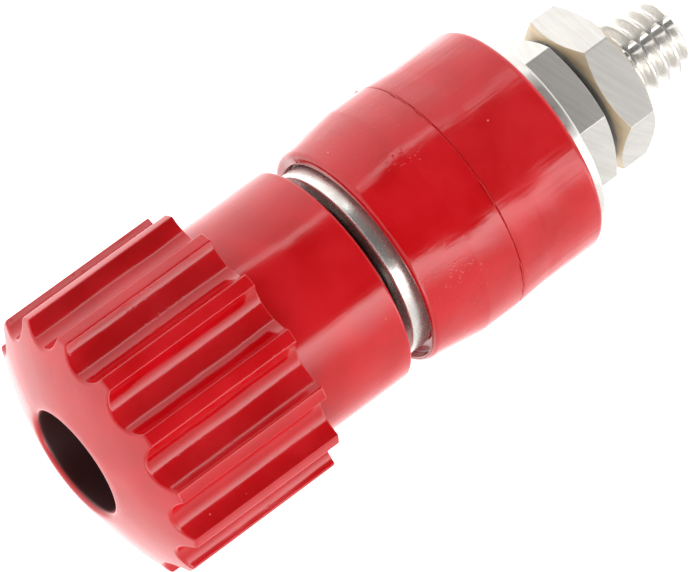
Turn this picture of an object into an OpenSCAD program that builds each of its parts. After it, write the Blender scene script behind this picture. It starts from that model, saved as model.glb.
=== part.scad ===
// Panel binding post for 4 mm plugs and bare wire, with an M4 rear stud.
// +Z runs along the post towards the knob. The origin is on the post's axis,
// on the face of the front insulator that seats against the panel.

/* [Front insulator] */
// Diameter where it meets the panel
front_d = 12.0; // [11:0.1:14]
// Height above the panel
front_len = 4.87; // [4:0.1:7]
// Height of the straight part, before the taper
front_straight = 2.0; // [1:0.1:3]
// Diameter at the front lip
front_lip_d = 11.2; // [10.8:0.1:11.8]
// Round on the front lip
front_lip_round = 0.3; // [0.1:0.05:0.4]
// Diameter of the spigot that passes through the panel
spigot_d = 8.0; // [7.4:0.1:9]
// Length of the spigot
spigot_len = 3.0; // [2.6:0.1:3.6]
// Width of the key on the spigot
key_w = 1.2; // [0.8:0.1:2]
// Height of the key above the spigot
key_h = 0.5; // [0.3:0.1:0.7]

/* [Rear insulator] */
// Diameter
rear_d = 11.75; // [11.2:0.05:13]
// Length
rear_len = 4.88; // [4.6:0.1:7]
// Round on its rear edge
rear_round = 0.3; // [0.1:0.05:0.6]

/* [Stem] */
// Diameter of the collar that the wire is clamped against
collar_d = 9.8; // [9.2:0.1:10]
// Thickness of the collar
collar_t = 1.1; // [0.9:0.1:1.6]
// Depth to which the collar is sunk in the front insulator
collar_sunk = 0.42; // [0.2:0.02:0.6]
// Round on the collar's edges
collar_round = 0.18; // [0.05:0.01:0.25]
// Diameter of the threaded part that the knob runs on
stem_d = 6.0; // [5.6:0.1:6.4]
// Length of that part, from the collar's face
stem_len = 12.4; // [11.8:0.1:14]
// Diameter of the plug socket
socket_d = 4.0; // [3.8:0.1:4.2]
// Depth of the plug socket
socket_depth = 14.2; // [12:0.1:16]
// Metal left behind the plug socket's floor
socket_back = 1.1; // [0.9:0.1:1.5]
// Diameter of the cross hole for a bare wire
wire_hole_d = 2.0; // [1.2:0.1:2.4]
// Height of the cross hole's lower edge above the collar
wire_hole_up = 0.3; // [0.2:0.1:0.6]
// Width over the round of the locking block under the collar
block_d = 7.0; // [6.6:0.1:7.4]
// Width over the two flats of the locking block
block_flats = 5.6; // [5.2:0.1:6]
// Least length of the locking block; a deeper socket makes it longer
block_len = 1.85; // [1.4:0.05:2.2]
// Diameter of the rear stud, an M4 thread
stud_d = 4.0; // [3.9:0.05:4.1]
// Length of stud left beyond the last nut
stud_past_nut = 3.5; // [3.5:0.1:6]
// Chamfer on the stud's end
stud_chamfer = 0.25; // [0.1:0.05:0.5]
// Width of the saw cut in the stud's end
slot_w = 1.0; // [0.6:0.1:1.2]
// Depth of the saw cut
slot_depth = 3.2; // [1:0.1:3.4]
// Direction of the saw cut around the post
slot_turn = 93; // [0:1:180]

/* [Knob] */
// Diameter of the plain skirt
skirt_d = 11.2; // [10.8:0.1:12]
// Length of the plain skirt
skirt_len = 5.3; // [3:0.1:7]
// Diameter over the ribs of the grip
grip_d = 13.78; // [13.4:0.01:16]
// Length from the grip's rear face to the mouth of the plug hole
grip_len = 9.57; // [8.6:0.01:12]
// Number of flutes around the grip
flutes = 14; // [10:1:16]
// Radius of one flute
flute_r = 1.28; // [1:0.02:1.3]
// Depth of one flute
flute_depth = 0.92; // [0.6:0.02:1]
// Radius of the domed end
dome_r = 15.5; // [12:0.5:30]
// Round on the rear edge of the skirt
skirt_round = 0.12; // [0.05:0.01:0.3]
// Diameter of the plug hole through the knob's end
plug_hole_d = 5.36; // [4.8:0.02:5.6]
// Round on the mouth of the plug hole
mouth_round = 0.3; // [0.1:0.05:0.5]
// Turn of the knob when it is screwed home
knob_turn = 3.5; // [0:0.5:360]

/* [Knob bush] */
// Outside diameter of the metal bush in the knob
bush_d = 8.0; // [7.4:0.1:8.4]
// Length of the bush
bush_len = 7.4; // [6.6:0.1:8]
// How far the bush stands out of the skirt
bush_proud = 0.66; // [0.4:0.02:1]
// Width of the groove that holds the bush in the knob
bush_groove_w = 1.2; // [0.8:0.1:1.6]
// Depth of that groove
bush_groove_depth = 0.4; // [0.2:0.05:0.5]

/* [Washer and nuts] */
// Diameter of the washer
washer_d = 10.6; // [9:0.1:11]
// Thickness of the washer
washer_t = 0.6; // [0.4:0.05:1]
// Width of the nuts over their flats
nut_af = 7.0; // [6.8:0.1:8]
// Height of one nut
nut_h = 2.2; // [1.8:0.1:3.2]
// Gap between the two nuts
nut_gap = 0.27; // [0.1:0.01:1]
// Turn of the mounting nut
mounting_nut_turn = 8.5; // [0:0.5:60]
// Turn of the terminal nut
terminal_nut_turn = 49.5; // [0:0.5:60]

/* [Clearances] */
// Radial clearance of a thread, drawn plain at its major diameter
thread_clear = 0.05; // [0.02:0.01:0.1]
// Clearance between moulded and turned pieces
seat_clear = 0.05; // [0.03:0.01:0.1]
// Radial clearance of the stud through the insulators and the washer
stud_clear = 0.15; // [0.05:0.05:0.3]
// Radial clearance of the collar in the front insulator
collar_clear = 0.15; // [0.1:0.05:0.25]
// Gap ahead of the stem's end and behind the spigot
end_clear = 0.3; // [0.1:0.05:0.5]

/* [Hidden] */
$fn = 96;
cut = 1;                  // how far a cutter runs past the face it opens
nut_face_share = 0.94;    // diameter of a nut's round face, over its width across flats
nut_chamfer = 30;         // angle of a nut's chamfer from its face
socket_chamfer = 0.35;    // lead-in at the mouth of the plug socket
drill_point = 31;         // slope of a drilled hole's end from its floor
washer_round = 0.15;      // round on the washer's outer edges

// heights along the post, from the panel
collar_z = front_len - collar_sunk;
collar_face = collar_z + collar_t;
stem_end = collar_face + stem_len;
socket_floor = stem_end - socket_depth;
block_z = min(collar_z - block_len, socket_floor - socket_back);
wire_hole_z = collar_face + wire_hole_up + wire_hole_d / 2;
washer_face = -rear_len - washer_t;
terminal_nut_face = washer_face - nut_h - nut_gap;
stud_end = terminal_nut_face - nut_h - stud_past_nut;
skirt_z = collar_face + bush_proud;
grip_z = skirt_z + skirt_len;
knob_end = grip_z + grip_len;
bush_end = collar_face + bush_len;
bush_groove_z = (skirt_z + bush_end - bush_groove_w) / 2;
plug_floor = stem_end + end_clear;

// Cylinder between two heights
module rod(d, z0, z1) {
    translate([0, 0, z0]) cylinder(d = d, h = z1 - z0);
}

// Cone between two heights
module cone(d0, d1, z0, z1) {
    translate([0, 0, z0]) cylinder(d1 = d0, d2 = d1, h = z1 - z0);
}

// What a round of radius r takes off the outer corner of a revolved profile.
// side is 1 for an upper corner and -1 for a lower one.
module corner_waste(d, z, r, side) {
    rotate_extrude()
        difference() {
            translate([d / 2 - r, side > 0 ? z - r : z - cut]) square([r + cut, r + cut]);
            translate([d / 2 - r, z - side * r]) circle(r);
            translate([0, side > 0 ? z - r - cut : z + r]) square([d / 2 + 2 * cut, cut]);
            translate([0, z - 2 * cut]) square([d / 2 - r, 4 * cut]);
        }
}

// What a round of radius r takes off the upper mouth of a bore
module mouth_waste(d, z, r) {
    rotate_extrude()
        difference() {
            square([d / 2 + r, z + cut]);
            square([d / 2 + r, z - r]);
            translate([d / 2 + r, z - r]) circle(r);
        }
}

// Double-D section, centred, with its flats facing +X and -X
module double_d(d, flats) {
    intersection() {
        circle(d = d);
        square([flats, d + cut], center = true);
    }
}

// Turned stem: plug socket, collar, locking block and slotted stud in one piece
module stem() {
    color("silver")
        difference() {
            union() {
                rod(stem_d, collar_face - cut / 2, stem_end);
                rod(collar_d, collar_z, collar_face);
                translate([0, 0, block_z])
                    linear_extrude(collar_z + collar_t / 2 - block_z)
                        double_d(block_d, block_flats);
                rod(stud_d, stud_end + stud_chamfer, block_z + cut / 2);
                cone(stud_d - 2 * stud_chamfer, stud_d, stud_end, stud_end + stud_chamfer);
            }
            corner_waste(collar_d, collar_face, collar_round, 1);
            corner_waste(collar_d, collar_z, collar_round, -1);
            rod(socket_d, socket_floor, stem_end + cut);
            cone(0, socket_d, socket_floor - socket_d / 2 * tan(drill_point), socket_floor);
            cone(socket_d, socket_d + 2 * socket_chamfer, stem_end - socket_chamfer, stem_end);
            translate([0, 0, wire_hole_z]) rotate([0, 90, 0])
                cylinder(d = wire_hole_d, h = stem_d + 2 * cut, center = true);
            rotate([0, 0, slot_turn])
                translate([-stud_d, -slot_w / 2, stud_end - cut])
                    cube([2 * stud_d, slot_w, slot_depth + cut]);
        }
}

// Insulator in front of the panel, with the keyed spigot that centres it
module front_insulator() {
    color("crimson")
        difference() {
            union() {
                rod(front_d, 0, front_straight);
                cone(front_d, front_lip_d, front_straight, front_len);
                rod(spigot_d, -spigot_len, cut);
                translate([-key_w / 2, 0, -spigot_len])
                    cube([key_w, spigot_d / 2 + key_h, spigot_len + cut]);
            }
            corner_waste(front_lip_d, front_len, front_lip_round, 1);
            rod(collar_d + 2 * collar_clear, collar_z, front_len + cut);
            translate([0, 0, block_z - seat_clear])
                linear_extrude(collar_z - block_z + seat_clear + cut)
                    double_d(block_d + 2 * seat_clear, block_flats + 2 * seat_clear);
            rod(stud_d + 2 * stud_clear, -spigot_len - cut, front_len);
        }
}

// Insulator behind the panel, bored for the spigot and notched for its key
module rear_insulator() {
    pocket = spigot_len + end_clear;
    color("crimson")
        difference() {
            rod(rear_d, -rear_len, 0);
            corner_waste(rear_d, -rear_len, rear_round, -1);
            rod(spigot_d + 2 * seat_clear, -pocket, cut);
            translate([-key_w / 2 - seat_clear, 0, -pocket])
                cube([key_w + 2 * seat_clear, spigot_d / 2 + key_h + seat_clear, pocket + cut]);
            rod(stud_d + 2 * stud_clear, -rear_len - cut, cut);
        }
}

// Plain washer between the rear insulator and the mounting nut
module washer() {
    color("gainsboro")
        difference() {
            rod(washer_d, washer_face, -rear_len);
            corner_waste(washer_d, washer_face, washer_round, -1);
            corner_waste(washer_d, -rear_len, washer_round, 1);
            rod(stud_d + 2 * stud_clear, washer_face - cut, cut);
        }
}

// Thin hexagon nut with both faces chamfered, its front face at height z
module thin_nut(z) {
    bore = stud_d + 2 * thread_clear;
    face_d = nut_af * nut_face_share;
    wide_d = face_d + 2 * nut_h / tan(nut_chamfer);
    difference() {
        intersection() {
            translate([0, 0, z - nut_h])
                cylinder(d = nut_af / cos(30), h = nut_h, $fn = 6);
            cone(face_d, wide_d, z - nut_h, z);
            cone(wide_d, face_d, z - nut_h, z);
        }
        rod(bore, z - nut_h - cut, z + cut);
    }
}

// Nut that draws the two insulators together on the panel
module mounting_nut() {
    color("silver") rotate([0, 0, mounting_nut_turn]) thin_nut(washer_face);
}

// Nut that holds a ring terminal against the mounting nut
module terminal_nut() {
    color("silver") rotate([0, 0, terminal_nut_turn]) thin_nut(terminal_nut_face);
}

// Metal bush that carries the knob's thread and presses on the wire
module knob_bush() {
    color("silver")
        difference() {
            rod(bush_d, collar_face, bush_end);
            difference() {
                rod(bush_d + cut, bush_groove_z, bush_groove_z + bush_groove_w);
                rod(bush_d - 2 * bush_groove_depth, bush_groove_z - cut, bush_end);
            }
            rod(stem_d + 2 * thread_clear, collar_face - cut, bush_end + cut);
        }
}

// The bush's outline with its clearance, as a solid to cut from the knob
module bush_seat() {
    rod(bush_d + 2 * seat_clear, skirt_z - cut, bush_groove_z + seat_clear);
    rod(bush_d - 2 * bush_groove_depth + 2 * seat_clear, skirt_z, bush_end);
    rod(bush_d + 2 * seat_clear, bush_groove_z + bush_groove_w - seat_clear,
        bush_end + seat_clear);
}

// Moulded knob: plain skirt, fluted grip and domed end with the plug hole
module knob() {
    dome_drop = dome_r - sqrt(pow(dome_r, 2) - pow(plug_hole_d / 2, 2));
    color("crimson")
        rotate([0, 0, knob_turn])
            difference() {
                union() {
                    rod(skirt_d, skirt_z, grip_z + cut);
                    intersection() {
                        rod(grip_d, grip_z, knob_end + cut);
                        translate([0, 0, knob_end + dome_drop - dome_r]) sphere(dome_r, $fn = 192);
                    }
                }
                corner_waste(skirt_d, skirt_z, skirt_round, -1);
                for (i = [0 : flutes - 1])
                    rotate([0, 0, (i + 0.5) * 360 / flutes])
                        translate([grip_d / 2 - flute_depth + flute_r, 0, grip_z - cut])
                            cylinder(r = flute_r, h = grip_len + 2 * cut);
                bush_seat();
                rod(stem_d + 2 * end_clear, bush_end, plug_floor);
                rod(plug_hole_d, plug_floor - cut, knob_end + cut);
                mouth_waste(plug_hole_d, knob_end, mouth_round);
            }
}

stem();
front_insulator();
rear_insulator();
washer();
mounting_nut();
terminal_nut();
knob_bush();
knob();
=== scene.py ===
import math

import bmesh
import bpy
from bpy.props import (FloatProperty, FloatVectorProperty, IntProperty,
                       PointerProperty)
from mathutils import Matrix, Vector


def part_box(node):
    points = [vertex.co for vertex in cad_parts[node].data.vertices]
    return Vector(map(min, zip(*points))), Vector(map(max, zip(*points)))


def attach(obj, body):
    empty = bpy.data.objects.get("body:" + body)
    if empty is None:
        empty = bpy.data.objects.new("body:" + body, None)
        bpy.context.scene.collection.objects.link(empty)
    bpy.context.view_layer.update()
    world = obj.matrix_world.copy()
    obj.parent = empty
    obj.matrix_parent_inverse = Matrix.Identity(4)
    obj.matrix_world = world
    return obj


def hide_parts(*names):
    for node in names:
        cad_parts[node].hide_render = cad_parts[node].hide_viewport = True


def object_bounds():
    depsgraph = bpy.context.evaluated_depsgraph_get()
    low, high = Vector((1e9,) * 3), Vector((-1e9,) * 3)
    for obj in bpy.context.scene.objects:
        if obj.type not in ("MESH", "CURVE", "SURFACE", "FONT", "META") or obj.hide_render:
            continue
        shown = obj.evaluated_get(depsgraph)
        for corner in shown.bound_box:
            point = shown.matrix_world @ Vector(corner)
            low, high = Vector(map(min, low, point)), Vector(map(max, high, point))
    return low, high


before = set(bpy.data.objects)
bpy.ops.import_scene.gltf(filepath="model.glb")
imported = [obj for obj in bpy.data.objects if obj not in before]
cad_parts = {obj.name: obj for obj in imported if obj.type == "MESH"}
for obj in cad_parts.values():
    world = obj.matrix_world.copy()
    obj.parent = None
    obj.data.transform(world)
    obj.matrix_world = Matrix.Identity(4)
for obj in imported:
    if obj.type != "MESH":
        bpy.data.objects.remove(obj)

CAD_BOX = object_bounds()

bl_info = {
    "name": "Binding Post",
    "version": (1, 0, 0),
    "blender": (4, 5, 0),
    "location": "View3D > Sidebar > Binding Post",
    "description": "Builds a panel binding post: knob, insulators, stem, washer, nuts",
    "category": "Add Mesh",
}

MM = 0.001
TURN = 2 * math.pi
PAST = 1                        # how far a cutter reaches past what it cuts, in mm
CRISP = 35                      # faces that meet at more degrees get a sharp edge
ARC_STEPS = 4                   # steps of a small round
HOLD = 0.02                     # holding point beside a round, in mm
FLUTE_STEPS, EDGE_STEPS, LAND_STEPS = 8, 4, 3
ROUND_STEPS, WALL_STEPS, DOME_STEPS = 4, 8, 8

# Sizes of what is hidden or very small, in mm
GAP = 0.05                      # clearance between pieces
BUSH_LEN, BUSH_BORE = 7.4, 3.05
BUSH_LEAD = 0.35                # chamfer at the mouth of the bush
REAR_ROUND = 0.07               # round along the rear of the grip
PLUG_LEDGE = 2.83               # depth of the plug hole
PLUG_RELIEF = 0.62              # how much further the knob is hollowed behind it
STEM_CORE = 2.0                 # inner radius of the collar's shell
TIP_CHAMFER = 0.55              # chamfer on the front end of the stem
STUD_CHAMFER = 0.3              # chamfer on the end of the stud
SOCKET_LEAD = 0.33              # chamfer at the mouth of the socket
DRILL_TIP = 1.2                 # cone at the socket's floor
STUD_HOLE = 2.15                # radius of the hole for the stud
POCKET_DEPTH = 3.3              # depth of the pocket for the spigot
KEY_ROOT = 2.5                  # radius from which the key stands out
SEAM = 0.08                     # round on both insulators where they meet
SEAT = 0.01                     # clearance in front of a nut
NUT_CORNER = 0.07               # round on a nut's corners


def low(node):
    """Lowest corner of a node, in mm."""
    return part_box(node)[0] / MM


def high(node):
    """Highest corner of a node, in mm."""
    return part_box(node)[1] / MM


def length(name, text, default_mm, **limits):
    """A length property whose default is given in mm."""
    return FloatProperty(name=name, description=text, default=default_mm * MM,
                         precision=5, unit="LENGTH", subtype="DISTANCE", **limits)


def angle(name, text, degrees):
    """An angle property whose default is given in degrees."""
    return FloatProperty(name=name, description=text, default=math.radians(degrees),
                         subtype="ANGLE", unit="ROTATION")


def tint(name, text, default):
    """A colour property."""
    return FloatVectorProperty(name=name, description=text, default=default,
                               subtype="COLOR", min=0, max=1)


def share(name, text, default, top=1.0):
    """A plain number between 0 and a top value."""
    return FloatProperty(name=name, description=text, default=default, min=0, max=top,
                         precision=3, subtype="FACTOR" if top == 1 else "NONE")


# ---------------------------------------------------------------- settings

class KnobSettings(bpy.types.PropertyGroup):
    """Sizes of the fluted knob"""
    grip_d: length("Grip diameter", "Diameter over the lands", 13.78)
    skirt_d: length("Skirt diameter", "Diameter of the plain skirt", 11.2)
    skirt_len: length("Skirt length", "Length of the plain skirt", 5.3)
    flutes: IntProperty(name="Flutes", description="Number of flutes around the grip",
                        default=14, min=6, max=24)
    flute_r: length("Flute radius", "Radius of one flute", 1.28)
    flute_depth: length("Flute depth", "Depth of one flute", 0.92)
    land_round: length("Land round", "Round along both edges of a land", 0.1)
    dome_r: length("Dome radius", "Radius of the domed end", 15.5)
    rim_round: length("Rim round", "Round where the flutes run out on the dome", 0.11)
    hole_d: length("Plug hole", "Diameter of the plug hole", 5.36)
    mouth_round: length("Mouth round", "Round on the mouth of the plug hole", 0.3)
    bush_d: length("Bush diameter", "Diameter of the metal bush", 8.0)
    turn: angle("Turn", "Turn of the knob when screwed home", 3.5)


class StemSettings(bpy.types.PropertyGroup):
    """Sizes of the turned stem"""
    thread_d: length("Stem thread", "Major diameter under the knob", 6.0)
    thread_pitch: length("Stem pitch", "Pitch under the knob", 1.0)
    socket_d: length("Socket", "Diameter of the plug socket", 4.0)
    socket_depth: length("Socket depth", "Depth of the plug socket", 14.2)
    collar_d: length("Collar diameter", "Diameter of the collar", 9.8)
    collar_t: length("Collar thickness", "Thickness of the collar", 1.1)
    collar_face: length("Collar face", "Height of the collar's face", 5.55)
    collar_round: length("Collar round", "Round on the collar's edges", 0.16)
    wire_hole_d: length("Wire hole", "Diameter of the cross hole", 2.0)
    wire_hole_z: length("Wire hole height", "Height of the cross hole", 6.85)
    stud_d: length("Stud", "Major diameter of the rear stud", 4.0)
    stud_pitch: length("Stud pitch", "Pitch of the rear stud", 0.7)
    groove_w: length("Groove width", "Width of the groove along the stud", 0.76)
    groove_depth: length("Groove depth", "Depth of that groove", 0.42)
    groove_len: length("Groove length", "Length of that groove", 8.0)
    groove_turn: angle("Groove turn", "Place of the groove around the stud", 276)


class InsulatorSettings(bpy.types.PropertyGroup):
    """Sizes of the two insulators"""
    front_d: length("Front diameter", "Diameter at the panel", 12.0)
    straight: length("Straight part", "Height before the taper", 2.0)
    lip_d: length("Lip diameter", "Diameter at the front lip", 11.2)
    recess_d: length("Recess diameter", "Diameter of the collar's recess", 10.36)
    recess_shift: length("Recess shift", "How far the recess is off centre", 0.15)
    recess_depth: length("Recess depth", "Depth of the collar's recess", 0.42)
    spigot_d: length("Spigot", "Diameter of the spigot through the panel", 8.0)
    key_w: length("Key width", "Width of the key", 1.2)
    key_h: length("Key height", "Height of the key above the spigot", 0.5)
    rear_d: length("Rear diameter", "Diameter of the rear insulator", 11.75)
    rear_flare: length("Rear flare", "Growth in radius towards the seam", 0.09)
    flash: length("Flash", "Greatest height of the moulding flash at the seam", 0.12)


class FastenerSettings(bpy.types.PropertyGroup):
    """Sizes of the washer and the nuts"""
    washer_d: length("Washer", "Diameter of the washer", 10.6)
    washer_round: length("Washer round", "Round on the washer's edges", 0.14)
    nut_af: length("Nut width", "Width across flats", 7.0)
    face_share: share("Nut face", "Diameter of the round face over the width", 0.94)
    chamfer: angle("Chamfer", "Slope of the nut's chamfer", 30)
    rear_chamfer: angle("Rear chamfer", "Slope on the mounting nut's rear face", 19)
    bore_d: length("Nut bore", "Diameter of the nut's bore", 4.1)
    first_turn: angle("Mounting nut turn", "Turn around the stud", 8.5)
    second_turn: angle("Terminal nut turn", "Turn around the stud", 49.5)


class FinishSettings(bpy.types.PropertyGroup):
    """Colours and finishes"""
    red: tint("Plastic", "Colour of the moulded plastic", (0.46, 0.003, 0.007))
    red_deep: tint("Plastic, deep", "Its darker colour variation", (0.39, 0.001, 0.003))
    # painted shade: a near-black colour for the plug hole's wall, standing in for the
    # shade deep inside the hole
    hole_painted_shade: tint("Plastic, hole", "Its colour inside the plug hole",
                   (0.03, 0.0, 0.0))
    gloss: share("Plastic roughness", "Roughness of the moulded plastic", 0.14)
    nickel: tint("Nickel", "Colour of the plated metal", (0.80, 0.775, 0.735))
    nickel_warm: tint("Nickel, warm", "Where the brass shows through",
                      (0.70, 0.62, 0.48))
    brass: tint("Brass", "Bare brass on worn chamfers", (0.66, 0.49, 0.27))
    polish: share("Metal roughness", "Roughness of the turned metal", 0.22)


class StageSettings(bpy.types.PropertyGroup):
    """Camera, lamps and floor"""
    camera_place: FloatVectorProperty(name="Camera", description="Place of the camera",
                                      default=(-0.0008, -0.2812, 0.1002),
                                      precision=4, subtype="XYZ", unit="LENGTH")
    camera_tilt: angle("Tilt", "How far the camera looks down", 18.54)
    camera_roll: angle("Roll", "Roll about the line of sight", -126.25)
    lens: FloatProperty(name="Lens", description="Focal length", default=343.4, min=20)
    floor_drop: length("Floor drop", "Space between the post and the floor", 8.0)
    surround: share("Surround", "Strength of the surrounding light", 1.0, 4)
    back_light: share("Back light", "Extra light from behind the post", 1.0, 4)
    key: share("Key light", "Peak of the graded light from the right", 4.5, 20)
    strip: share("Strip light", "Radiance of the narrow softbox", 3.0, 20)


# ---------------------------------------------------------------- mesh tools

def rounded(corners):
    """Chain of (radius, height) points through corners of (radius, height, round).

    Each round becomes an arc, with a holding point just outside both its ends.
    """
    chain = []
    for i, (r, z, fillet) in enumerate(corners):
        here = Vector((r, z))
        if fillet <= 0 or i in (0, len(corners) - 1):
            chain.append(here)
            continue
        back = Vector(corners[i - 1][:2]) - here
        ahead = Vector(corners[i + 1][:2]) - here
        room = (back.length, ahead.length)
        back.normalize()
        ahead.normalize()
        half = back.angle(ahead) / 2
        reach = min(fillet / math.tan(half), 0.98 * room[0], 0.98 * room[1])
        fillet = reach * math.tan(half)
        centre = here + (back + ahead).normalized() * (fillet / math.sin(half))
        if reach + HOLD < room[0]:
            chain.append(here + back * (reach + HOLD))
        first = here + back * reach - centre
        last = here + ahead * reach - centre
        sweep = first.angle_signed(last)
        for k in range(ARC_STEPS + 1):
            chain.append(centre + Matrix.Rotation(-sweep * k / ARC_STEPS, 2) @ first)
        if reach + HOLD < room[1]:
            chain.append(here + ahead * (reach + HOLD))
    return [(p.x, p.y) for p in chain]


def lathe(chain, columns, shape=None):
    """Rings of a revolved chain. shape(angle, radius, z) may move a point."""
    rings = []
    for r, z in chain:
        ring = []
        for j in range(columns):
            a = TURN * j / columns
            ring.append(shape(a, r, z) if shape
                        else (r * math.cos(a), r * math.sin(a), z))
        rings.append(ring)
    return rings


def skin(bm, rings, loop=False, caps=False):
    """Faces over rings of the same count, with a UV that runs round and along."""
    uv = bm.loops.layers.uv.verify()
    made = [[bm.verts.new(Vector(p) * MM) for p in ring] for ring in rings]
    n = len(made[0])
    rows = len(made) if loop else len(made) - 1
    for k in range(rows):
        lower, upper = made[k], made[(k + 1) % len(made)]
        for j in range(n):
            i = (j + 1) % n
            face = bm.faces.new((lower[j], lower[i], upper[i], upper[j]))
            for corner, (u, v) in zip(face.loops, ((j, k), (j + 1, k), (j + 1, k + 1),
                                                   (j, k + 1))):
                corner[uv].uv = (u / n, v / len(made))
    if caps:
        bm.faces.new(made[0])
        bm.faces.new(made[-1])
    return made


def circle(angles, r, z):
    """A ring of points at given angles."""
    return [(r * math.cos(a), r * math.sin(a), z) for a in angles]


def as_object(bm, name):
    """Turns a bmesh into an object of the scene."""
    mesh = bpy.data.meshes.new(name)
    bm.to_mesh(mesh)
    bm.free()
    piece = bpy.data.objects.new(name, mesh)
    bpy.context.collection.objects.link(piece)
    return piece


def drop(*objects):
    """Removes objects and their meshes."""
    for obj in objects:
        mesh = obj.data
        bpy.data.objects.remove(obj)
        bpy.data.meshes.remove(mesh)


def smooth(piece, crisp=CRISP):
    """Smooth faces with sharp edges by angle."""
    piece.data.shade_smooth()
    piece.data.set_sharp_from_angle(angle=math.radians(crisp))
    return piece


def finish_mesh(bm, name, crisp=CRISP):
    """Object from a bmesh: outward normals, smooth faces, crisp edges by angle."""
    bmesh.ops.remove_doubles(bm, verts=bm.verts, dist=1e-7)
    bmesh.ops.dissolve_degenerate(bm, edges=bm.edges, dist=1e-8)
    bmesh.ops.recalc_face_normals(bm, faces=bm.faces)
    return smooth(as_object(bm, name), crisp)


def carve(piece, *cutters):
    """Cuts closed cutter objects out of a piece and removes them."""
    for cutter in cutters:
        cut = piece.modifiers.new("cut", "BOOLEAN")
        cut.operation, cut.solver, cut.object = "DIFFERENCE", "EXACT", cutter
    graph = bpy.context.evaluated_depsgraph_get()
    solid = bpy.data.meshes.new_from_object(piece.evaluated_get(graph))
    piece.modifiers.clear()
    old, name = piece.data, piece.data.name
    piece.data = solid
    bpy.data.meshes.remove(old)
    solid.name = name
    drop(*cutters)
    return smooth(piece)


def block(name, lo, hi, turn=0.0):
    """Closed box between two corners, in mm, turned about the post's axis."""
    bm = bmesh.new()
    lo, hi = Vector(lo), Vector(hi)
    bmesh.ops.create_cube(bm, size=1, matrix=Matrix.Rotation(turn, 4, "Z")
                          @ Matrix.Translation((lo + hi) / 2 * MM)
                          @ Matrix.Diagonal((*(hi - lo) * MM, 1)))
    return finish_mesh(bm, name)


def revolved(name, chain, columns=64, place=None):
    """Closed solid of revolution, from its axis or as a ring."""
    bm = bmesh.new()
    skin(bm, lathe(chain, columns), caps=True)
    if place:
        bmesh.ops.transform(bm, matrix=place, verts=bm.verts)
    return finish_mesh(bm, name)


THREAD_SHAPE = ((0.0, 0.0), (0.055, 0.0), (0.085, 0.03), (0.16, 0.27), (0.26, 0.60),
                (0.36, 0.90), (0.42, 0.985), (0.5, 1.0), (0.58, 0.985), (0.64, 0.90),
                (0.74, 0.60), (0.84, 0.27), (0.915, 0.03), (0.945, 0.0))
THREAD_DEPTH = 0.6134           # depth of a thread over its pitch


def thread_cut(part):
    """Depth of the thread below its crest, at a part of the pitch."""
    part %= 1.0
    shape = THREAD_SHAPE + ((1.0, 0.0),)
    for (f0, d0), (f1, d1) in zip(shape, shape[1:]):
        if part <= f1:
            return d0 + (d1 - d0) * (part - f0) / (f1 - f0)
    return 0.0


def threaded(name, radius, pitch, z0, z1, cap, columns=72):
    """Closed threaded rod whose rows follow the helix. cap(z) limits its radius."""
    bm = bmesh.new()
    uv = bm.loops.layers.uv.verify()
    per = len(THREAD_SHAPE)
    first = math.floor(z0 / pitch) - 2
    turns = math.ceil(z1 / pitch) + 2 - first

    def spot(row, j):
        turn, k = divmod(row, per)
        angle = TURN * j / columns
        z = (first + turn + THREAD_SHAPE[k][0] + j / columns) * pitch
        z = min(max(z, z0), z1)
        r = radius - THREAD_DEPTH * pitch * thread_cut(z / pitch - j / columns)
        r = min(r, cap(z))
        return Vector((r * math.cos(angle), r * math.sin(angle), z)) * MM

    made = [[bm.verts.new(spot(row, j)) for j in range(columns)]
            for row in range(turns * per)]
    for row in range(turns * per - 1):
        for j in range(columns):
            ahead, i = (row, j + 1) if j + 1 < columns else (row + per, 0)
            if ahead + 1 >= len(made):
                continue
            face = bm.faces.new((made[row][j], made[ahead][i], made[ahead + 1][i],
                                 made[row + 1][j]))
            for corner, (du, dv) in zip(face.loops, ((0, 0), (1, 0), (1, 1), (0, 1))):
                corner[uv].uv = ((j + du) / columns, (row + dv) / len(made))
    bmesh.ops.remove_doubles(bm, verts=bm.verts, dist=1e-7)
    bmesh.ops.dissolve_degenerate(bm, edges=bm.edges, dist=1e-7)
    bmesh.ops.holes_fill(bm, edges=[e for e in bm.edges if e.is_boundary], sides=0)
    return finish_mesh(bm, name)


def flute_outline(knob):
    """One turn of the grip's outline: (x, y, outward normal x, y) of each point.

    A flute is an arc cut into the round, and a small arc rounds each land's edge.
    """
    land_r = knob.grip_d / 2 / MM
    flute_r, edge = knob.flute_r / MM, knob.land_round / MM
    centre = land_r - knob.flute_depth / MM + flute_r
    inner = land_r - edge
    at = math.acos((inner ** 2 + centre ** 2 - (flute_r + edge) ** 2)
                   / (2 * inner * centre))
    corner = Vector((inner * math.cos(at), inner * math.sin(at)))
    axis = Vector((centre, 0))
    to_axis = (axis - corner).normalized()
    meet = axis - to_axis * flute_r
    sweep = math.atan2(meet.y, centre - meet.x)
    half = []
    for k in range(FLUTE_STEPS + 1):
        a = sweep * k / FLUTE_STEPS
        normal = Vector((math.cos(a), -math.sin(a)))
        half.append((axis - normal * flute_r, normal))
    start = math.atan2(to_axis.y, to_axis.x)
    for k in range(1, EDGE_STEPS + 1):
        a = start + (at - start) * k / EDGE_STEPS
        normal = Vector((math.cos(a), math.sin(a)))
        half.append((corner + normal * edge, normal))
    reach = math.pi / knob.flutes
    for k in range(1, LAND_STEPS + 1):
        a = at + (reach - at) * k / LAND_STEPS
        normal = Vector((math.cos(a), math.sin(a)))
        half.append((normal * land_r, normal))
    mirrored = [(Vector((p.x, -p.y)), Vector((n.x, -n.y))) for p, n in half[:0:-1]]
    one = mirrored[1:] + half
    outline = []
    for i in range(knob.flutes):
        spin = Matrix.Rotation(TURN * (i + 0.5) / knob.flutes, 2)
        outline += [(spin @ p, spin @ n) for p, n in one]
    return outline


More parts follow.
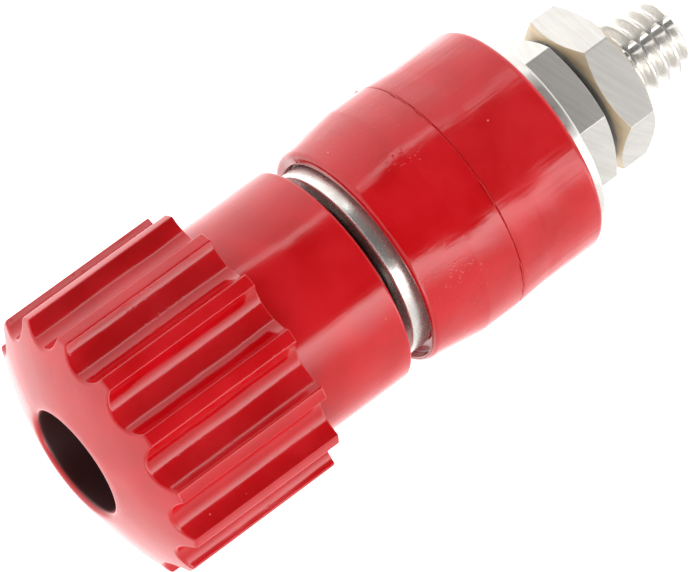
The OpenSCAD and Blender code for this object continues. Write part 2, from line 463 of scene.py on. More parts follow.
def knob_rings(knob):
    """Rings of the whole knob, from the skirt's bore over the outside to the bore."""
    outline = flute_outline(knob)
    angles = [math.atan2(p.y, p.x) for p, n in outline]
    skirt_r, bush_r = knob.skirt_d / 2 / MM, knob.bush_d / 2 / MM + GAP
    hole_r, mouth = knob.hole_d / 2 / MM, knob.mouth_round / MM
    dome_r, rim = knob.dome_r / MM, knob.rim_round / MM
    skirt_z, top = low("knob").z, high("knob").z
    grip_z = skirt_z + knob.skirt_len / MM
    dome_z = top + dome_r - math.sqrt(dome_r ** 2 - hole_r ** 2) - dome_r

    def dome(p):
        return dome_z + math.sqrt(dome_r ** 2 - p.length_squared)

    inner_r = hole_r + PLUG_RELIEF
    skirt = rounded([(bush_r, skirt_z, 0), (skirt_r, skirt_z, 0.14),
                     (skirt_r, grip_z, 0.06), (skirt_r + 0.2, grip_z, 0)])
    rings = [circle(angles, r, z) for r, z in skirt]
    # rear face of the grip, its small round and the walls
    small = REAR_ROUND
    rings.append([(p.x - n.x * (small + 0.03), p.y - n.y * (small + 0.03), grip_z)
                  for p, n in outline])
    for k in range(ROUND_STEPS):
        a = math.pi / 2 * k / (ROUND_STEPS - 1)
        off, up = small * (1 - math.sin(a)), small * (1 - math.cos(a))
        rings.append([(p.x - n.x * off, p.y - n.y * off, grip_z + up)
                      for p, n in outline])
    foot = grip_z + small + 0.03
    for k in range(WALL_STEPS + 1):
        f = k / WALL_STEPS
        rings.append([(p.x, p.y, foot + (dome(p) - rim - 0.04 - foot) * f)
                      for p, n in outline])
    for k in range(ROUND_STEPS + 1):
        a = math.pi / 2 * k / ROUND_STEPS
        ring = []
        for p, n in outline:
            q = p - n * rim * (1 - math.cos(a))
            ring.append((q.x, q.y, dome(q) - rim * (1 - math.sin(a))))
        rings.append(ring)
    # dome, from the rim's inner edge to the mouth of the hole
    for k in range(DOME_STEPS):
        f = (k + 0.12) / DOME_STEPS
        ring = []
        for (p, n), a in zip(outline, angles):
            edge = p - n * rim
            inside = Vector((math.cos(a), math.sin(a))) * (hole_r + mouth * 1.05)
            q = edge.lerp(inside, f)
            ring.append((q.x, q.y, dome(q)))
        rings.append(ring)
    for k in range(2 * ROUND_STEPS + 1):
        a = math.pi / 2 * k / (2 * ROUND_STEPS)
        r = hole_r + mouth * (1 - math.sin(a))
        z = dome(Vector((hole_r + mouth, 0))) - mouth * (1 - math.cos(a))
        rings.append(circle(angles, r, z))
    floor = top - PLUG_LEDGE
    seat = low("knob_bush").z + BUSH_LEN
    for r, z in ((hole_r, top - 0.8), (hole_r, floor), (inner_r, floor),
                 (inner_r, seat), (bush_r, seat)):
        rings.append(circle(angles, r, z))
    return rings


def nut_outline(af, corner_round):
    """Points round a hexagon with slightly rounded corners."""
    half, points = af / 2, []
    tip = half / math.cos(math.pi / 6)
    for i in range(6):
        mid = TURN * (i + 0.5) / 6
        centre = Vector((math.cos(mid), math.sin(mid))) * (tip - corner_round
                                                          / math.cos(math.pi / 6))
        arc = [centre + corner_round * Vector((math.cos(mid + a), math.sin(mid + a)))
               for a in (math.radians(d) for d in (-30, -18, -6, 6, 18, 30))]
        points += arc
        after = TURN * (i + 1.5) / 6
        nxt = Vector((math.cos(after), math.sin(after))) * (tip - corner_round
                                                           / math.cos(math.pi / 6))
        start = arc[-1]
        end = nxt + corner_round * Vector((math.cos(after - math.pi / 6),
                                           math.sin(after - math.pi / 6)))
        points += [start.lerp(end, f) for f in (0.012, 0.14, 0.28, 0.42, 0.58, 0.72,
                                                0.86, 0.988)]
    return points


def nut_rings(fast, z_front, height, rear_chamfer):
    """Rings of a nut with both faces chamfered, as a closed loop of rows."""
    outline = nut_outline(fast.nut_af / MM, NUT_CORNER)
    angles = [math.atan2(p.y, p.x) for p in outline]
    face_r = fast.nut_af / MM * fast.face_share / 2
    bore = fast.bore_d / 2 / MM

    def side(z_face, sign, chamfer):
        """Rings from the bore to the middle of the wall, for one face."""
        slope = math.tan(chamfer)
        rows = [circle(angles, r, z_face - sign * sunk) for r, sunk in (
            (bore, 0.5), (bore, 0.22), (bore + 0.2, 0.015), (bore + 0.24, 0),
            (face_r - 0.06, 0), (face_r - 0.02, 0), (face_r + 0.015, 0.008))]
        for inset, sunk in ((0.03, 0.0), (0.010, 0.006), (0.0, 0.026), (0.0, 0.05)):
            ring = []
            for p in outline:
                r = max(p.length, face_r + 0.05)
                q = p * ((p.length - inset) / p.length)
                ring.append((q.x, q.y, z_face - sign * ((r - inset - face_r) * slope
                                                        + sunk)))
            rows.append(ring)
        return rows

    return (side(z_front, 1, fast.chamfer)
            + side(z_front - height, -1, rear_chamfer)[::-1])


# ---------------------------------------------------------------- node tools

def put(tree, kind, *, inputs=None, **settings):
    """Adds a node, sets it up and connects or fills its inputs."""
    node = tree.nodes.new(kind)
    for key, value in settings.items():
        setattr(node, key, value)
    for key, value in (inputs or {}).items():
        socket = node.inputs[key]
        if isinstance(value, bpy.types.NodeSocket):
            tree.links.new(value, socket)
        else:
            socket.default_value = value
    return node


def sums(tree, operation, a, b=0.0, c=0.0):
    """A Math node's output."""
    return put(tree, "ShaderNodeMath", operation=operation,
               inputs={0: a, 1: b, 2: c}).outputs[0]


def spread(tree, value, lo, hi, to_lo=0.0, to_hi=1.0):
    """A value mapped smoothly from one range to another, held at its ends."""
    return put(tree, "ShaderNodeMapRange", clamp=True,
               interpolation_type="SMOOTHSTEP",
               inputs={"Value": value, "From Min": lo, "From Max": hi,
                       "To Min": to_lo, "To Max": to_hi}).outputs["Result"]


def blend_colour(tree, fac, a, b, how="MIX"):
    """A colour between two."""
    node = put(tree, "ShaderNodeMix", data_type="RGBA", blend_type=how)
    for key, value in ((0, fac), (6, a), (7, b)):
        if isinstance(value, bpy.types.NodeSocket):
            tree.links.new(value, node.inputs[key])
        else:
            full = key and len(value) == 3
            node.inputs[key].default_value = (*value, 1) if full else value
    return node.outputs[2]


def group(name, ins, outs):
    """An empty shader node group with named sockets, and its two end nodes."""
    tree = bpy.data.node_groups.new(name, "ShaderNodeTree")
    for label, kind, default in ins:
        socket = tree.interface.new_socket(label, in_out="INPUT",
                                           socket_type=f"NodeSocket{kind}")
        if default is not None:
            socket.default_value = default
    for label, kind in outs:
        tree.interface.new_socket(label, in_out="OUTPUT",
                                  socket_type=f"NodeSocket{kind}")
    start = tree.nodes.new("NodeGroupInput")
    end = tree.nodes.new("NodeGroupOutput")
    return tree, start.outputs, end.inputs


def use(tree, name, **inputs):
    """A group placed in a material, built the first time it is asked for."""
    made = bpy.data.node_groups.get(name) or GROUPS[name]()
    node = put(tree, "ShaderNodeGroup", node_tree=made)
    for key, value in inputs.items():
        socket = node.inputs[key.replace("_", " ")]
        if isinstance(value, bpy.types.NodeSocket):
            tree.links.new(value, socket)
        else:
            socket.default_value = value
    return node.outputs


def noise(tree, vector, scale, detail=2.0, roughness=0.5, distortion=0.0):
    """A noise value around 0.5."""
    return put(tree, "ShaderNodeTexNoise",
               inputs={"Vector": vector, "Scale": scale, "Detail": detail,
                       "Roughness": roughness, "Distortion": distortion}).outputs[0]


def from_axis(tree, vector):
    """Distance from the post's axis, and height along it."""
    part = put(tree, "ShaderNodeSeparateXYZ", inputs={0: vector}).outputs
    square = sums(tree, "MULTIPLY", part[0], part[0])
    square = sums(tree, "MULTIPLY_ADD", part[1], part[1], square)
    return sums(tree, "SQRT", square), part[2]


def feed(tree, shader, colour, rough, height, depth):
    """Connects a finish to its shader, with the height as bump."""
    bump = put(tree, "ShaderNodeBump", inputs={"Height": height, "Strength": 1.0,
                                               "Distance": depth})
    tree.links.new(colour, shader.inputs["Base Color"])
    tree.links.new(rough, shader.inputs["Roughness"])
    tree.links.new(bump.outputs[0], shader.inputs["Normal"])


FINENESS = 22000.0              # scale of turning and brushing lines
SKIN_DEPTH = 0.00002            # depth of the plastic's bump, in m


def dust_group():
    """Sparse specks: a mask and a height."""
    tree, inp, out = group("Dust specks", (("Vector", "Vector", None),
                                           ("Spacing", "Float", 1500.0),
                                           ("Amount", "Float", 0.3)),
                           (("Mask", "Float"), ("Height", "Float")))
    cells = put(tree, "ShaderNodeTexVoronoi", inputs={"Vector": inp["Vector"],
                                                      "Scale": inp["Spacing"]})
    pick = put(tree, "ShaderNodeSeparateColor", inputs={0: cells.outputs["Color"]})
    chosen = sums(tree, "LESS_THAN", pick.outputs[0], inp["Amount"])
    size = sums(tree, "MULTIPLY_ADD", pick.outputs[1], 0.045, 0.02)
    speck = spread(tree, cells.outputs["Distance"], 0.0, size, 1.0, 0.0)
    mask = sums(tree, "MULTIPLY", speck, chosen)
    tree.links.new(mask, out["Mask"])
    tree.links.new(mask, out["Height"])
    return tree


def flow_group():
    """Moulding: slow waves of the skin, fine orange peel and drawn-out streaks."""
    tree, inp, out = group("Moulded skin", (("Vector", "Vector", None),
                                            ("Wave", "Float", 0.5),
                                            ("Peel", "Float", 0.2),
                                            ("Streak", "Float", 0.2),
                                            ("Pits", "Float", 0.2)),
                           (("Height", "Float"), ("Tone", "Float")))
    wave = noise(tree, inp["Vector"], 210.0, 1.5, 0.4, 0.4)
    peel = noise(tree, inp["Vector"], 2600.0, 2.0)
    drawn = put(tree, "ShaderNodeMapping", inputs={"Vector": inp["Vector"],
                                                   "Scale": (2400.0, 2400.0, 260.0)})
    streak = noise(tree, drawn.outputs[0], 1.0, 2.0)
    height = sums(tree, "MULTIPLY", wave, inp["Wave"])
    height = sums(tree, "MULTIPLY_ADD", peel, inp["Peel"], height)
    height = sums(tree, "MULTIPLY_ADD", streak, inp["Streak"], height)
    cells = put(tree, "ShaderNodeTexVoronoi", inputs={"Vector": inp["Vector"],
                                                      "Scale": 4300.0})
    dimple = spread(tree, cells.outputs["Distance"], 0.05, 0.32, 1.0, 0.0)
    patch = spread(tree, noise(tree, inp["Vector"], 330.0, 2.0), 0.5, 0.66)
    pitted = sums(tree, "MULTIPLY", dimple, patch)
    pitted = sums(tree, "MULTIPLY", pitted, inp["Pits"])
    height = sums(tree, "SUBTRACT", height, pitted)
    tree.links.new(height, out["Height"])
    tree.links.new(noise(tree, inp["Vector"], 420.0, 3.0), out["Tone"])
    return tree


def lathe_group():
    """Turning lines: fine rings about the post's axis, along it or across a face."""
    tree, inp, out = group("Turned lines", (("Vector", "Vector", None),
                                            ("Fineness", "Float", FINENESS)),
                           (("Height", "Float"), ("Tone", "Float")))
    radius, height = from_axis(tree, inp["Vector"])
    along = put(tree, "ShaderNodeCombineXYZ", inputs={0: radius, 1: height})
    scaled = put(tree, "ShaderNodeVectorMath", operation="SCALE",
                 inputs={0: along.outputs[0], 3: inp["Fineness"]})
    lines = noise(tree, scaled.outputs[0], 1.0, 3.0, 0.6)
    tree.links.new(lines, out["Height"])
    tree.links.new(noise(tree, inp["Vector"], 900.0, 3.0, 0.6), out["Tone"])
    return tree


def brushed_group():
    """Brushing: fine slanted lines over a part that is mapped along its height."""
    tree, inp, out = group("Brushed lines", (("Vector", "Vector", None),
                                             ("Slant", "Vector", (0.0, 0.0, 0.0)),
                                             ("Fineness", "Float", FINENESS)),
                           (("Height", "Float"), ("Tone", "Float")))
    turned = put(tree, "ShaderNodeVectorRotate", rotation_type="EULER_XYZ",
                 inputs={"Vector": inp["Vector"], "Rotation": inp["Slant"]})
    drawn = put(tree, "ShaderNodeVectorMath", operation="MULTIPLY",
                inputs={0: turned.outputs[0], 1: (0.06, 0.06, 1.0)})
    scaled = put(tree, "ShaderNodeVectorMath", operation="SCALE",
                 inputs={0: drawn.outputs[0], 3: inp["Fineness"]})
    lines = noise(tree, scaled.outputs[0], 1.0, 3.0, 0.65)
    coarse = put(tree, "ShaderNodeVectorMath", operation="SCALE",
                 inputs={0: drawn.outputs[0], 3: 5200.0})
    tree.links.new(lines, out["Height"])
    tree.links.new(noise(tree, coarse.outputs[0], 1.0, 2.0, 0.5), out["Tone"])
    return tree


GROUPS = {"Dust specks": dust_group, "Moulded skin": flow_group,
          "Turned lines": lathe_group, "Brushed lines": brushed_group}


def blank(name):
    """A material with its shader, its tree and object coordinates."""
    made = bpy.data.materials.new(name)
    made.use_nodes = True
    tree = made.node_tree
    shader = tree.nodes["Principled BSDF"]
    place = put(tree, "ShaderNodeTexCoord").outputs["Object"]
    return made, tree, shader, place


def plastic(name, finish, wave=2.5, peel=0.15, streak=0.1, rough=1.0, pits=0.1,
            hole_r=0.0, hole_z=0.0):
    """Glossy moulded plastic with dust and a living skin.

    Above hole_z and inside hole_r the wall is rougher, and its colour is painted near
    black: painted shade standing in for the deep plug hole's shadow.
    """
    made, tree, shader, place = blank(name)
    skin_of = use(tree, "Moulded skin", Vector=place, Wave=wave, Peel=peel,
                  Streak=streak, Pits=pits)
    dust = use(tree, "Dust specks", Vector=place, Spacing=900.0, Amount=0.35)
    colour = blend_colour(tree, spread(tree, skin_of["Tone"], 0.3, 0.7),
                          tuple(finish.red_deep), tuple(finish.red))
    pale = blend_colour(tree, sums(tree, "MULTIPLY", dust["Mask"], 0.55), colour,
                        (0.85, 0.45, 0.45))
    rough_of = spread(tree, skin_of["Tone"], 0.2, 0.8, finish.gloss * rough * 0.8,
                      finish.gloss * rough * 1.25)
    height = sums(tree, "MULTIPLY_ADD", dust["Height"], 0.25, skin_of["Height"])
    if hole_r:
        # painted shade: inside the plug hole the colour is darkened to near black, and the
        # wall is made rougher
        radius, z = from_axis(tree, place)
        inside = sums(tree, "MULTIPLY",
                      spread(tree, radius, hole_r, hole_r * 1.03, 1.0, 0.0),
                      sums(tree, "GREATER_THAN", z, hole_z))
        pale = blend_colour(tree, inside, pale, tuple(finish.hole_painted_shade))
        rough_of = sums(tree, "MULTIPLY_ADD", inside, 0.4, rough_of)
    feed(tree, shader, pale, rough_of, height, SKIN_DEPTH)
    shader.inputs["IOR"].default_value = 1.5
    return made


def nickel(name, finish, lines="Turned lines", rough=1.0, depth=0.000004, warm=0.2,
           slant=None, cloud=1.0, metal=1.0, tone_and_painted_shade=1.0, worn=0.0):
    """Nickel-plated metal with turning or brushing lines.

    cloud sets how patchy it is, the darkening factor darkens the colour (plain tone on the
    stem and nuts, painted shade on the bush), and worn bares the chamfers' brass.
    """
    made, tree, shader, place = blank(name)
    grain = use(tree, lines, Vector=place, **({"Slant": slant} if slant else {}))
    patch = noise(tree, place, 1500.0, 3.0, 0.6)
    colour = blend_colour(tree, sums(tree, "MULTIPLY", spread(tree, patch, 0.42, 0.75),
                                     warm), tuple(finish.nickel),
                          tuple(finish.nickel_warm))
    if worn:
        facing = put(tree, "ShaderNodeSeparateXYZ", inputs={
            0: put(tree, "ShaderNodeTexCoord").outputs["Normal"]}).outputs[2]
        facing = sums(tree, "ABSOLUTE", facing)
        sloped = sums(tree, "MULTIPLY", spread(tree, facing, 0.5, 0.7),
                      spread(tree, facing, 0.93, 0.98, worn, 0.0))
        colour = blend_colour(tree, sloped, colour, tuple(finish.brass))
    # random tone from the grain, scaled by the darkening factor, which on the bush is
    # painted shade
    shade = spread(tree, grain["Tone"], 0.25, 0.75, 0.88 * tone_and_painted_shade, tone_and_painted_shade)
    colour = blend_colour(tree, 1.0, colour,
                          put(tree, "ShaderNodeCombineColor",
                              inputs={0: shade, 1: shade, 2: shade}).outputs[0],
                          "MULTIPLY")
    rough_of = spread(tree, patch, 0.25, 0.75,
                      finish.polish * rough * (1 - 0.25 * cloud),
                      finish.polish * rough * (1 + 0.3 * cloud))
    feed(tree, shader, colour, rough_of, grain["Height"], depth)
    shader.inputs["Metallic"].default_value = metal
    return made


def dress(piece, made, body, *nodes, slot):
    """Gives a finished piece its material, its body and the nodes it stands for."""
    piece.data.materials.clear()
    piece.data.materials.append(made)
    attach(piece, body)
    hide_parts(*nodes)


def merge(name, *parts):
    """Joins objects into one, without changing their shells."""
    bm = bmesh.new()
    for part in parts:
        bm.from_mesh(part.data)
    drop(*parts)
    return as_object(bm, name)


# ---------------------------------------------------------------- pieces

class POST_OT_knob(bpy.types.Operator):
    """Build the fluted knob with its domed end and plug hole"""
    bl_idname = "post.knob"
    bl_label = "Knob"

    def execute(self, context):
        settings = context.scene.post_knob
        bm = bmesh.new()
        skin(bm, knob_rings(settings), loop=True)
        bmesh.ops.rotate(bm, verts=bm.verts,
                         matrix=Matrix.Rotation(settings.turn, 3, "Z"))
        piece = finish_mesh(bm, "fluted_knob")
        # the hole settings below darken the plug hole's wall to near black: painted shade
        dress(piece, plastic("Moulded red, knob", context.scene.post_finish,
                             wave=9.0, peel=0.08, streak=0.3, pits=0.25,
                             hole_r=settings.hole_d / 2,
                             hole_z=low("knob").z * MM),
              "knob", "knob", slot="red_plastic")
        return {"FINISHED"}


class POST_OT_bush(bpy.types.Operator):
    """Build the metal bush that shows below the skirt"""
    bl_idname = "post.bush"
    bl_label = "Knob bush"

    def execute(self, context):
        knob = context.scene.post_knob
        z0, z1 = low("knob_bush").z, high("knob_bush").z
        out, bore, lead = knob.bush_d / 2 / MM, BUSH_BORE, BUSH_LEAD
        chain = rounded([(bore, z0 + 0.5, 0), (bore, z0 + lead, 0),
                         (bore + lead, z0, 0.03), (out, z0, 0.12), (out, z1, 0.1),
                         (bore, z1, 0)])
        bm = bmesh.new()
        skin(bm, lathe(chain, 96), loop=True)
        piece = finish_mesh(bm, "turned_bush")
        # Its colour is darkened to 15 %: painted shade for the dark gap between the skirt
        # and the collar, where the bush shows.
        dress(piece, nickel("Turned nickel, bush", context.scene.post_finish,
                            tone_and_painted_shade=0.15),
              "knob_carrier", "knob_bush", slot="nickel_brass")
        return {"FINISHED"}


class POST_OT_stem(bpy.types.Operator):
    """Build the turned stem: socket, collar, threads and the grooved stud"""
    bl_idname = "post.stem"
    bl_label = "Stem"

    def execute(self, context):
        stem = context.scene.post_stem
        lo, hi = low("stem").z, high("stem").z
        face = stem.collar_face / MM
        back = face - stem.collar_t / MM
        radius = stem.thread_d / 2 / MM
        tube = threaded("stem_tube", radius, stem.thread_pitch / MM, face - 0.3, hi,
                        lambda z: min(radius, radius - TIP_CHAMFER + (hi - z)), 96)
        socket_r = stem.socket_d / 2 / MM
        floor = hi - stem.socket_depth / MM
        mouth_r = socket_r + SOCKET_LEAD
        socket = revolved("socket_cutter", [
            (0.01, floor - DRILL_TIP), (socket_r, floor), (socket_r, hi - 0.3),
            (mouth_r, hi + 0.03), (mouth_r, hi + PAST)])
        across = revolved("wire_cutter", [(stem.wire_hole_d / 2 / MM, -5),
                                          (stem.wire_hole_d / 2 / MM, 5)], 48,
                          Matrix.Translation((0, 0, stem.wire_hole_z))
                          @ Matrix.Rotation(math.pi / 2, 4, "Y"))
        carve(tube, socket, across)
        out = stem.collar_d / 2 / MM
        rnd = stem.collar_round / MM
        bm = bmesh.new()
        skin(bm, lathe(rounded([(STEM_CORE, back, 0), (out, back, rnd),
                                (out, face, rnd), (STEM_CORE, face, 0)]), 128),
             loop=True)
        collar = finish_mesh(bm, "stem_collar")
        stud_r = stem.stud_d / 2 / MM
        stud = threaded("stem_stud", stud_r, stem.stud_pitch / MM, lo, back,
                        lambda z: min(stud_r, stud_r - STUD_CHAMFER + (z - lo)))
        half = stem.groove_w / 2 / MM
        out_to = stud_r - stem.groove_depth / MM + half
        groove = revolved("groove_cutter", [(half, lo - PAST),
                                            (half, lo + stem.groove_len / MM)], 32,
                          Matrix.Rotation(stem.groove_turn, 4, "Z")
                          @ Matrix.Translation((out_to * MM, 0, 0)))
        carve(stud, groove)
        piece = merge("turned_stem", tube, collar, stud)
        dress(piece, nickel("Turned nickel, stem", context.scene.post_finish,
                            rough=1.25, metal=0.82, tone_and_painted_shade=0.93),
              "post", "stem", slot="nickel_brass")
        return {"FINISHED"}


class POST_OT_insulators(bpy.types.Operator):
    """Build the two insulators that meet on the panel"""
    bl_idname = "post.insulators"
    bl_label = "Insulators"

    def execute(self, context):
        settings, finish = context.scene.post_insulators, context.scene.post_finish
        self.front(settings, finish)
        self.rear(settings, finish)
        return {"FINISHED"}

    def front(self, ins, finish):
        top, foot = high("front_insulator").z, low("front_insulator").z
        wide, lip = ins.front_d / 2 / MM, ins.lip_d / 2 / MM
        recess, depth = ins.recess_d / 2 / MM, ins.recess_depth / MM
        spigot, shift = ins.spigot_d / 2 / MM, ins.recess_shift / MM
        flash = ins.flash / MM
        chain = rounded([(STUD_HOLE, foot, 0), (spigot, foot, 0.2), (spigot, 0, 0),
                         (wide - SEAM, 0, 0), (wide, SEAM, 0.03),
                         (wide, ins.straight / MM, 0.8),
                         (lip, top, 0.26), (recess, top, 0.1),
                         (recess, top - depth, 0.05), (STUD_HOLE, top - depth, 0)])

        def shape(a, r, z):
            x, y = r * math.cos(a), r * math.sin(a)
            if z > top - depth - 0.01 and r <= recess + 0.12:
                x -= shift
            if 0 <= z < SEAM + 0.01 and r > wide - SEAM - 0.01:
                ragged = (math.sin(7 * a + 1.0) + math.sin(17 * a) * 0.7
                          + math.sin(41 * a + 2.0) * 0.5) / 2.2
                grow = 1 + flash * max(ragged, 0.0) / wide
                x, y = x * grow, y * grow
            return x, y, z

        bm = bmesh.new()
        skin(bm, lathe(chain, 256, shape), loop=True)
        body = finish_mesh(bm, "insulator_body")
        key = block("insulator_key", (-ins.key_w / 2 / MM, KEY_ROOT, foot),
                    (ins.key_w / 2 / MM, spigot + ins.key_h / MM, 0.2))
        piece = merge("front_insulator_shell", body, key)
        dress(piece, plastic("Moulded red, front", finish, wave=15.0, peel=0.3,
                             streak=0.3, pits=0.6), "post", "front_insulator",
              slot="red_plastic")

    def rear(self, ins, finish):
        foot = low("rear_insulator").z
        wide, flare = ins.rear_d / 2 / MM, ins.rear_flare / MM
        pocket = ins.spigot_d / 2 / MM + GAP
        chain = rounded([(STUD_HOLE, foot, 0), (wide, foot, 0.28), (wide, -1.6, 0.8),
                         (wide + flare, -0.25, 0.6), (wide + flare, 0, SEAM),
                         (pocket, 0, 0.0), (pocket, -POCKET_DEPTH, 0),
                         (STUD_HOLE, -POCKET_DEPTH, 0)])
        bm = bmesh.new()
        skin(bm, lathe(chain, 256), loop=True)
        piece = finish_mesh(bm, "rear_insulator_shell")
        half = ins.key_w / 2 / MM + GAP
        keyway = block("keyway_cutter", (-half, KEY_ROOT, -POCKET_DEPTH),
                       (half, pocket + ins.key_h / MM, PAST))
        carve(piece, keyway)
        dress(piece, plastic("Moulded red, rear", finish, wave=17.0, peel=0.15,
                             streak=0.8, rough=1.4, pits=0.15), "panel_clamp",
              "rear_insulator", slot="red_plastic")


class POST_OT_fasteners(bpy.types.Operator):
    """Build the washer and the two thin nuts"""
    bl_idname = "post.fasteners"
    bl_label = "Washer and nuts"

    def execute(self, context):
        fast, finish = context.scene.post_fasteners, context.scene.post_finish
        lo, hi = low("washer").z, high("washer").z
        rnd = fast.washer_round / MM
        out = fast.washer_d / 2 / MM
        chain = rounded([(STUD_HOLE, lo, 0.05), (out, lo, rnd), (out, hi, rnd),
                         (STUD_HOLE, hi, 0.05)])
        bm = bmesh.new()
        skin(bm, lathe(chain, 128), loop=True)
        piece = finish_mesh(bm, "plain_washer")
        dress(piece, nickel("Turned nickel, washer", finish, rough=1.5, metal=0.8),
              "panel_clamp", "washer", slot="nickel_brass")
        for node, turn, rear in (
                ("mounting_nut", fast.first_turn, fast.rear_chamfer),
                ("terminal_nut", fast.second_turn, fast.chamfer)):
            z0, z1 = low(node).z, high(node).z
            bm = bmesh.new()
            skin(bm, nut_rings(fast, z1 - SEAT, z1 - SEAT - z0, rear), loop=True)
            bmesh.ops.rotate(bm, verts=bm.verts,
                             matrix=Matrix.Rotation(turn - math.pi / 6, 3, "Z"))
            piece = finish_mesh(bm, node + "_hexagon", crisp=24)
            dress(piece, nickel("Brushed nickel, " + node.replace("_", " "), finish,
                                lines="Brushed lines", rough=2.1, depth=0.000003,
                                warm=0.1, slant=(0.5, 0.35, 0.0), cloud=0.15,
                                metal=0.75, tone_and_painted_shade=0.78, worn=0.7), node, node,
                  slot="nickel_brass")
        return {"FINISHED"}


# ---------------------------------------------------------------- stage

def aim(azimuth, elevation):
    """Unit vector from the post; azimuth 0 is the camera's side, positive to -X."""
    a, e = math.radians(azimuth), math.radians(elevation)
    return Vector((-math.sin(a) * math.cos(e), -math.cos(a) * math.cos(e), math.sin(e)))


def softbox(name, azimuth, elevation, distance, size, radiance):
    """A rectangular lamp that faces the post."""
    lamp = bpy.data.lights.new(name, "AREA")
    lamp.shape, lamp.size, lamp.size_y = "RECTANGLE", *size
    lamp.energy = math.pi * size[0] * size[1] * radiance
    obj = bpy.data.objects.new(name, lamp)
    towards = aim(azimuth, elevation)
    obj.location = towards * distance
    obj.rotation_mode = "QUATERNION"
    obj.rotation_quaternion = towards.to_track_quat("Z", "Y")
    obj.visible_camera = False
    bpy.context.collection.objects.link(obj)
    return obj


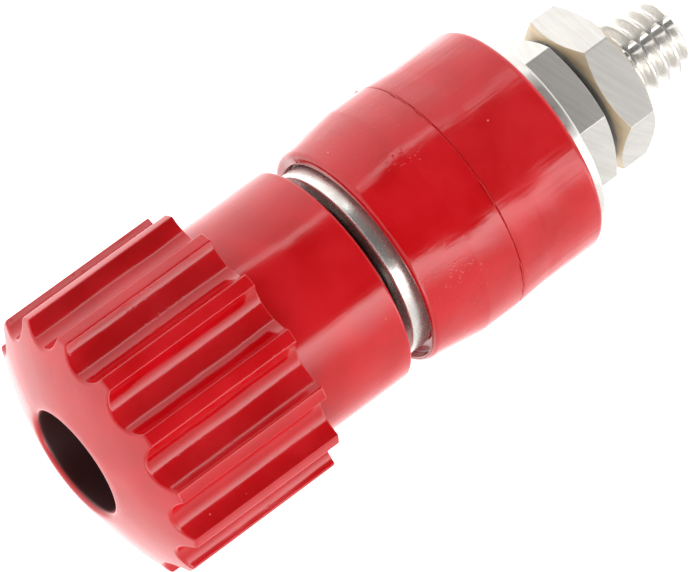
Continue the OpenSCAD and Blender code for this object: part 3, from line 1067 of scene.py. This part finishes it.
class POST_OT_stage(bpy.types.Operator):
    """Build the camera, the lamps, the surround and the floor"""
    bl_idname = "post.stage"
    bl_label = "Stage"

    def execute(self, context):
        stage = context.scene.post_stage
        self.camera(context, stage)
        self.surround(context, stage)
        self.floor(stage)
        softbox("edge_strip", -51, -16, 0.32, (0.03, 0.16), stage.strip)
        context.scene.view_settings.view_transform = "Standard"
        return {"FINISHED"}

    def camera(self, context, stage):
        data = bpy.data.cameras.new("camera")
        data.lens, data.sensor_width = stage.lens, 36
        data.clip_start, data.clip_end = 0.01, 10
        camera = bpy.data.objects.new("camera", data)
        level = Matrix.Rotation(math.pi / 2 - stage.camera_tilt, 3, "X")
        roll = Matrix.Rotation(stage.camera_roll, 3, "Z")
        camera.matrix_world = (Matrix.Translation(stage.camera_place)
                               @ (level @ roll).to_4x4())
        context.collection.objects.link(camera)
        context.scene.camera = camera

    def surround(self, context, stage):
        world = bpy.data.worlds.new("surround")
        world.use_nodes = True
        tree = world.node_tree
        tree.nodes.clear()
        place = put(tree, "ShaderNodeTexCoord").outputs["Generated"]
        facing = put(tree, "ShaderNodeVectorMath", operation="DOT_PRODUCT",
                     inputs={0: place, 1: aim(-6, -8)}).outputs["Value"]
        dark = spread(tree, facing, math.cos(math.radians(50)),
                      math.cos(math.radians(38)))
        behind = put(tree, "ShaderNodeVectorMath", operation="DOT_PRODUCT",
                     inputs={0: place, 1: aim(-140, 15)}).outputs["Value"]
        bright = spread(tree, behind, -0.2, 0.8, stage.surround,
                        stage.surround + stage.back_light)
        light = put(tree, "ShaderNodeMix", data_type="FLOAT",
                    inputs={0: dark, 2: bright, 3: 0.04}).outputs[0]
        part = put(tree, "ShaderNodeSeparateXYZ", inputs={0: place})
        right = sums(tree, "MULTIPLY", part.outputs[0], -1.0)
        key = sums(tree, "MULTIPLY", spread(tree, right, 0.54, 0.60),
                   spread(tree, right, 0.60, 0.94, stage.key, 0.0))
        key = sums(tree, "MULTIPLY", key, spread(tree, part.outputs[1], -0.1, 0.2,
                                                 1.0, 0.0))
        light = sums(tree, "ADD", light, key)
        path = put(tree, "ShaderNodeLightPath")
        level = put(tree, "ShaderNodeMix", data_type="FLOAT",
                    inputs={0: path.outputs["Is Camera Ray"], 2: light, 3: 1.0})
        glow = put(tree, "ShaderNodeBackground", inputs={"Color": (1, 1, 1, 1),
                                                         "Strength": level.outputs[0]})
        end = put(tree, "ShaderNodeOutputWorld")
        tree.links.new(glow.outputs[0], end.inputs["Surface"])
        context.scene.world = world

    def floor(self, stage):
        bm = bmesh.new()
        bmesh.ops.create_circle(bm, cap_ends=True, segments=96, radius=0.6)
        floor = as_object(bm, "floor")
        floor.location.z = CAD_BOX[0].z - stage.floor_drop
        made, tree, shader, place = blank("Floor paper")
        grain = noise(tree, place, 60.0, 2.0)
        colour = blend_colour(tree, grain, (0.90, 0.90, 0.90), (0.93, 0.93, 0.93))
        tree.links.new(colour, shader.inputs["Base Color"])
        shader.inputs["Roughness"].default_value = 0.9
        path = put(tree, "ShaderNodeLightPath")
        lift = sums(tree, "MULTIPLY", path.outputs["Is Camera Ray"], 0.45)
        shader.inputs["Emission Color"].default_value = (1, 1, 1, 1)
        tree.links.new(lift, shader.inputs["Emission Strength"])
        floor.data.materials.append(made)
        floor.visible_glossy = False
        floor.visible_shadow = False


# ---------------------------------------------------------------- add-on

class POST_PT_panel(bpy.types.Panel):
    """Lists the pieces and their sizes"""
    bl_idname = "POST_PT_panel"
    bl_label = "Binding Post"
    bl_space_type = "VIEW_3D"
    bl_region_type = "UI"
    bl_category = "Binding Post"

    def draw(self, context):
        for title, key, names in SECTIONS:
            box = self.layout.box()
            box.label(text=title)
            group_of = getattr(context.scene, key)
            for prop in group_of.__annotations__:
                box.prop(group_of, prop)
            for name in names:
                box.operator(name)


SECTIONS = (
    ("Knob", "post_knob", ("post.knob", "post.bush")),
    ("Stem", "post_stem", ("post.stem",)),
    ("Insulators", "post_insulators", ("post.insulators",)),
    ("Washer and nuts", "post_fasteners", ("post.fasteners",)),
    ("Finish", "post_finish", ()),
    ("Stage", "post_stage", ("post.stage",)),
)
GROUP_CLASSES = {"post_knob": KnobSettings, "post_stem": StemSettings,
                 "post_insulators": InsulatorSettings,
                 "post_fasteners": FastenerSettings, "post_finish": FinishSettings,
                 "post_stage": StageSettings}
OTHER_CLASSES = (POST_OT_knob, POST_OT_bush, POST_OT_stem, POST_OT_insulators,
                 POST_OT_fasteners, POST_OT_stage, POST_PT_panel)


def register():
    for key, cls in GROUP_CLASSES.items():
        bpy.utils.register_class(cls)
        setattr(bpy.types.Scene, key, PointerProperty(type=cls))
    for cls in OTHER_CLASSES:
        bpy.utils.register_class(cls)


def unregister():
    for cls in reversed(OTHER_CLASSES):
        bpy.utils.unregister_class(cls)
    for key, cls in reversed(GROUP_CLASSES.items()):
        delattr(bpy.types.Scene, key)
        bpy.utils.unregister_class(cls)


def main():
    register()
    bpy.ops.post.stage()
    bpy.ops.post.knob()
    bpy.ops.post.bush()
    bpy.ops.post.stem()
    bpy.ops.post.insulators()
    bpy.ops.post.fasteners()


if __name__ == "__main__":
    main()
